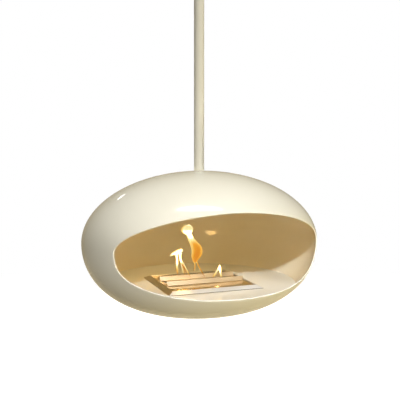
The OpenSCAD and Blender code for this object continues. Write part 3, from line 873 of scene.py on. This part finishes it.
def add_sheet(bm, rows, heat_layer, fade_layer):
    """A closed sheet through its rows, with its heat and its fade on the vertices."""
    loops = []
    for row in smooth_rows(rows):
        left, right = over_slot(row[0], row[1]), over_slot(row[2], row[3])
        middle, half = (left + right) / 2, (right - left) / 2
        ring = bmesh.ops.create_circle(bm, segments=AROUND_SHEET, radius=1.0)["verts"]
        for vertex in ring:
            across, out = vertex.co.x, vertex.co.y
            edge_heat = row[4] if across < 0 else row[6]
            share = abs(across) ** 3
            rim = 1 - 0.5 * max(0, abs(across) - RIM) / (1 - RIM)
            vertex[heat_layer] = rim * min(1, max(0, row[5] * (1 - share) + edge_heat * share))
            vertex[fade_layer] = min(1, max(0, row[7]))
            vertex.co = middle + half * across
            vertex.co.y += half.length * SHEET_DEPTH * out
        loops.append(ring)
    for ring, following in zip(loops, loops[1:]):
        edges = [e for v in ring + following for e in v.link_edges]
        bmesh.ops.bridge_loops(bm, edges=list(dict.fromkeys(
            e for e in edges if len(e.link_faces) < 2 and (
                all(v in ring for v in e.verts) or all(v in following for v in e.verts))
        )))
    for ring in (loops[0], loops[-1]):
        bmesh.ops.contextual_create(bm, geom=list(ring))


def make_flame(name, sheets):
    bm = bmesh.new()
    for layer in ("hotness", "fade"):
        bm.verts.layers.float.new(layer)
    heat_layer, fade_layer = (bm.verts.layers.float[layer] for layer in ("hotness", "fade"))
    for rows in sheets:
        add_sheet(bm, rows, heat_layer, fade_layer)
    bmesh.ops.recalc_face_normals(bm, faces=bm.faces)
    return piece_from(bm, name, "burner", [flame])


print("a sheet has", AROUND_SHEET, "corners round it")

# %% [markdown]
# ### The look of fire
# A flame has no surface colour of its own. It glows: dull orange where it is cool, then yellow,
# then so bright that it is seen as white.

# %% The look of fire
FIRE_CORE = 8.0  # strength where it is hottest


def flame_look():
    made = Finish("flame", Base_Color=(0, 0, 0, 1), Roughness=1.0, Specular_IOR_Level=0.0)
    heat = made.add("Attribute", attribute_name="hotness").outputs["Fac"]
    fade = made.add("Attribute", attribute_name="fade").outputs["Fac"]
    wisp = made.noise(40.0, stretch=(6.0, 6.0, 1.0))
    ripple = made.between(wisp, -0.06, 0.06)
    warm = made.add("Math", {0: heat, 1: ripple}, operation="ADD").outputs[0]
    ramp = made.add("ValToRGB", {"Fac": warm})
    stops = ramp.color_ramp.elements
    stops[0].position, stops[0].color = 0.0, (0.86, 0.27, 0.012, 1)
    stops[1].position, stops[1].color = 1.0, (1.0, 0.57, 0.20, 1)
    for position, tone in ((0.3, (0.95, 0.42, 0.04, 1)), (0.6, (1.0, 0.78, 0.26, 1)),
                           (0.8, (1.0, 0.90, 0.50, 1))):
        stop = stops.new(position)
        stop.color = tone
    glow = made.between(warm, 0.0, 1.0, 0.78, 1.0)
    strong = made.add("Math", {0: glow, 1: 2.0}, operation="POWER").outputs[0]
    made.wire(made.shader, {
        "Emission Color": ramp.outputs["Color"],
        "Emission Strength": made.between(strong, 1.0, FIRE_CORE, 0.0, 1.0),
        "Alpha": made.add("Math", {0: fade, 1: made.between(warm, 0.55, 1.0, 0.0, 0.6)},
                          operation="MULTIPLY").outputs[0],
    })
    return made


flame = flame_look()
print("flames glow up to", FIRE_CORE)

# %% The flames
FLAMES = {
    "flame_tall": [TALL_BODY, TALL_LEFT_FOOT, TALL_RIGHT_FOOT],
    "flame_twin": [TWIN_CAP, TWIN_LEFT, TWIN_RIGHT, TWIN_VEIL, TWIN_FORK_LEFT, TWIN_FORK_RIGHT],
    "flame_small": [SMALL_LEFT, SMALL_RIGHT],
}
for flame_name, flame_sheets in FLAMES.items():
    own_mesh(make_flame(flame_name, flame_sheets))

# %% [markdown]
# ## The stage
# The background is white to the camera. Gloss, metal and glass show it as the warm pale walls of
# a room, and soft light comes from the lamps alone, so the background hardly lights anything.
# The floor is a wide pale disc that glows in the same way: just enough to look white where the
# lamps reach it, and fully white at its rim. The glow stays low in the middle, so the object's
# shadow can show there.

# %% What the background shows
WHITE = (1, 1, 1, 1)
WALLS = (0.40, 0.33, 0.20, 1)
UNLIT = (0.02, 0.02, 0.02, 1)


def background(tree):
    """White for the camera's rays, walls for mirrored rays and rays through glass, else dark."""
    path = tree.nodes.new("ShaderNodeLightPath")
    mirrored = tree.nodes.new("ShaderNodeMath")
    mirrored.operation = "MAXIMUM"
    tree.links.new(path.outputs["Is Glossy Ray"], mirrored.inputs[0])
    tree.links.new(path.outputs["Is Transmission Ray"], mirrored.inputs[1])
    shown = UNLIT
    for share, tone in ((mirrored.outputs[0], WALLS), (path.outputs["Is Camera Ray"], WHITE)):
        mix = tree.nodes.new("ShaderNodeMix")
        mix.data_type = "RGBA"
        tree.links.new(share, mix.inputs[0])
        if shown is UNLIT:
            mix.inputs[6].default_value = UNLIT
        else:
            tree.links.new(shown, mix.inputs[6])
        mix.inputs[7].default_value = tone
        shown = mix.outputs[2]
    return shown


print("walls in mirrors:", WALLS[:3])

# %% Floor
FLOOR_DROP = 1.25  # below the pod's widest level
FLOOR_R = 6.0
MIDDLE_GLOW = 0.88
GLOW_FROM = 0.8  # distances from the pole, between which the glow grows to 1
GLOW_FULL = 2.6


def floor_finish():
    made = Finish("floor_pale", Roughness=0.9, Specular_IOR_Level=0.1)
    grain = made.noise(30.0)
    level = made.add("VectorMath", {0: made.place, 1: (1, 1, 0)}, operation="MULTIPLY").outputs[0]
    away = made.add("VectorMath", {0: level}, operation="LENGTH").outputs["Value"]
    made.wire(made.shader, {
        "Base Color": made.mix(grain, colour(184, 172, 144), colour(190, 178, 150)),
        "Emission Color": background(made.tree),
        "Emission Strength": made.between(away, MIDDLE_GLOW, 1.0, GLOW_FROM, GLOW_FULL),
    })
    return made


def make_floor():
    bm = bmesh.new()
    bmesh.ops.create_circle(bm, cap_ends=True, segments=128, radius=FLOOR_R)
    bmesh.ops.translate(bm, verts=bm.verts, vec=(0, 0, LEVEL - FLOOR_DROP))
    mesh = bpy.data.meshes.new("floor")
    bm.to_mesh(mesh)
    bm.free()
    floor = bpy.data.objects.new("floor", mesh)
    bpy.context.scene.collection.objects.link(floor)
    mesh.materials.append(floor_finish().material)
    print("floor", round(LEVEL - FLOOR_DROP, 3))


make_floor()

# %% World
world = bpy.data.worlds.new("studio")
bpy.context.scene.world = world
world.use_nodes = True
sky = world.node_tree
sky.links.new(background(sky), sky.nodes["Background"].inputs["Color"])
bpy.context.scene.view_settings.view_transform = "Standard"
print("world:", world.name)

# %% [markdown]
# ## Light
# A compact key stands far off, low on the left, and its beam is aimed at the right half of the
# hearth: the shadow of the mouth's upper edge then falls across the hearth and up the inner wall
# on the right, with a crisp edge. A large lamp high on the right fills the other side without
# reaching deep into the mouth. The lamp overhead makes the long highlight over the mouth, a small
# one behind makes the glint on the shoulder, and two dim warm lamps near the floor lift the
# underside. A large lamp straight behind lights the pod's back, and is kept out of the gloss, where
# it would draw a bright line along the outline. A small orange lamp between the flames carries the
# fire's own light.

# %% Lamps
def place_lamp(name, data, place, power, tint):
    data.energy = power
    data.color = tint
    made = bpy.data.objects.new(name, data)
    bpy.context.scene.collection.objects.link(made)
    made.location = place
    made.visible_camera = False
    return made


def lamp(name, turn, rise, distance, size, power, tint=(1, 1, 1), beam=180, aim=(0, 0, 0)):
    """A soft lamp round the pole from the front and up, in degrees, aimed from the pod's level."""
    a, e = math.radians(turn), math.radians(rise)
    away = Vector((math.sin(a) * math.cos(e), -math.cos(a) * math.cos(e), math.sin(e)))
    data = bpy.data.lights.new(name, "AREA")
    data.shape = "ELLIPSE"
    data.size, data.size_y = size
    data.spread = math.radians(beam)
    level = Vector((0, 0, LEVEL))
    made = place_lamp(name, data, level + away * distance, power, tint)
    made.rotation_euler = (level + Vector(aim) - made.location).to_track_quat("-Z", "Y").to_euler()
    return made


WARM = (1.0, 0.88, 0.56)
FIRE_TINT = (1.0, 0.60, 0.21)
lamp("key", -27, 28.5, 6.0, (0.25, 0.25), 4.15, beam=22, aim=(0.19, 0, -0.20))
lamp("high_right", 30, 45, 5.0, (1.8, 1.8), 71)
lamp("overhead", -22, 84, 1.9, (1.0, 0.32), 9.8)
lamp("glint", -167, 27, 2.0, (0.20, 0.035), 0.24)
lamp("behind", 160, 0, 5.0, (2.4, 2.4), 105).visible_glossy = False
lamp("low_right", 60, -28, 1.9, (0.7, 0.7), 9, WARM)
lamp("low_front", 20, -28, 1.9, (0.7, 0.7), 7.5, WARM)
fire = bpy.data.lights.new("fire", "POINT")
fire.shadow_soft_size = 0.025
place_lamp("fire", fire, over_slot(187, 244), 0.50, FIRE_TINT)
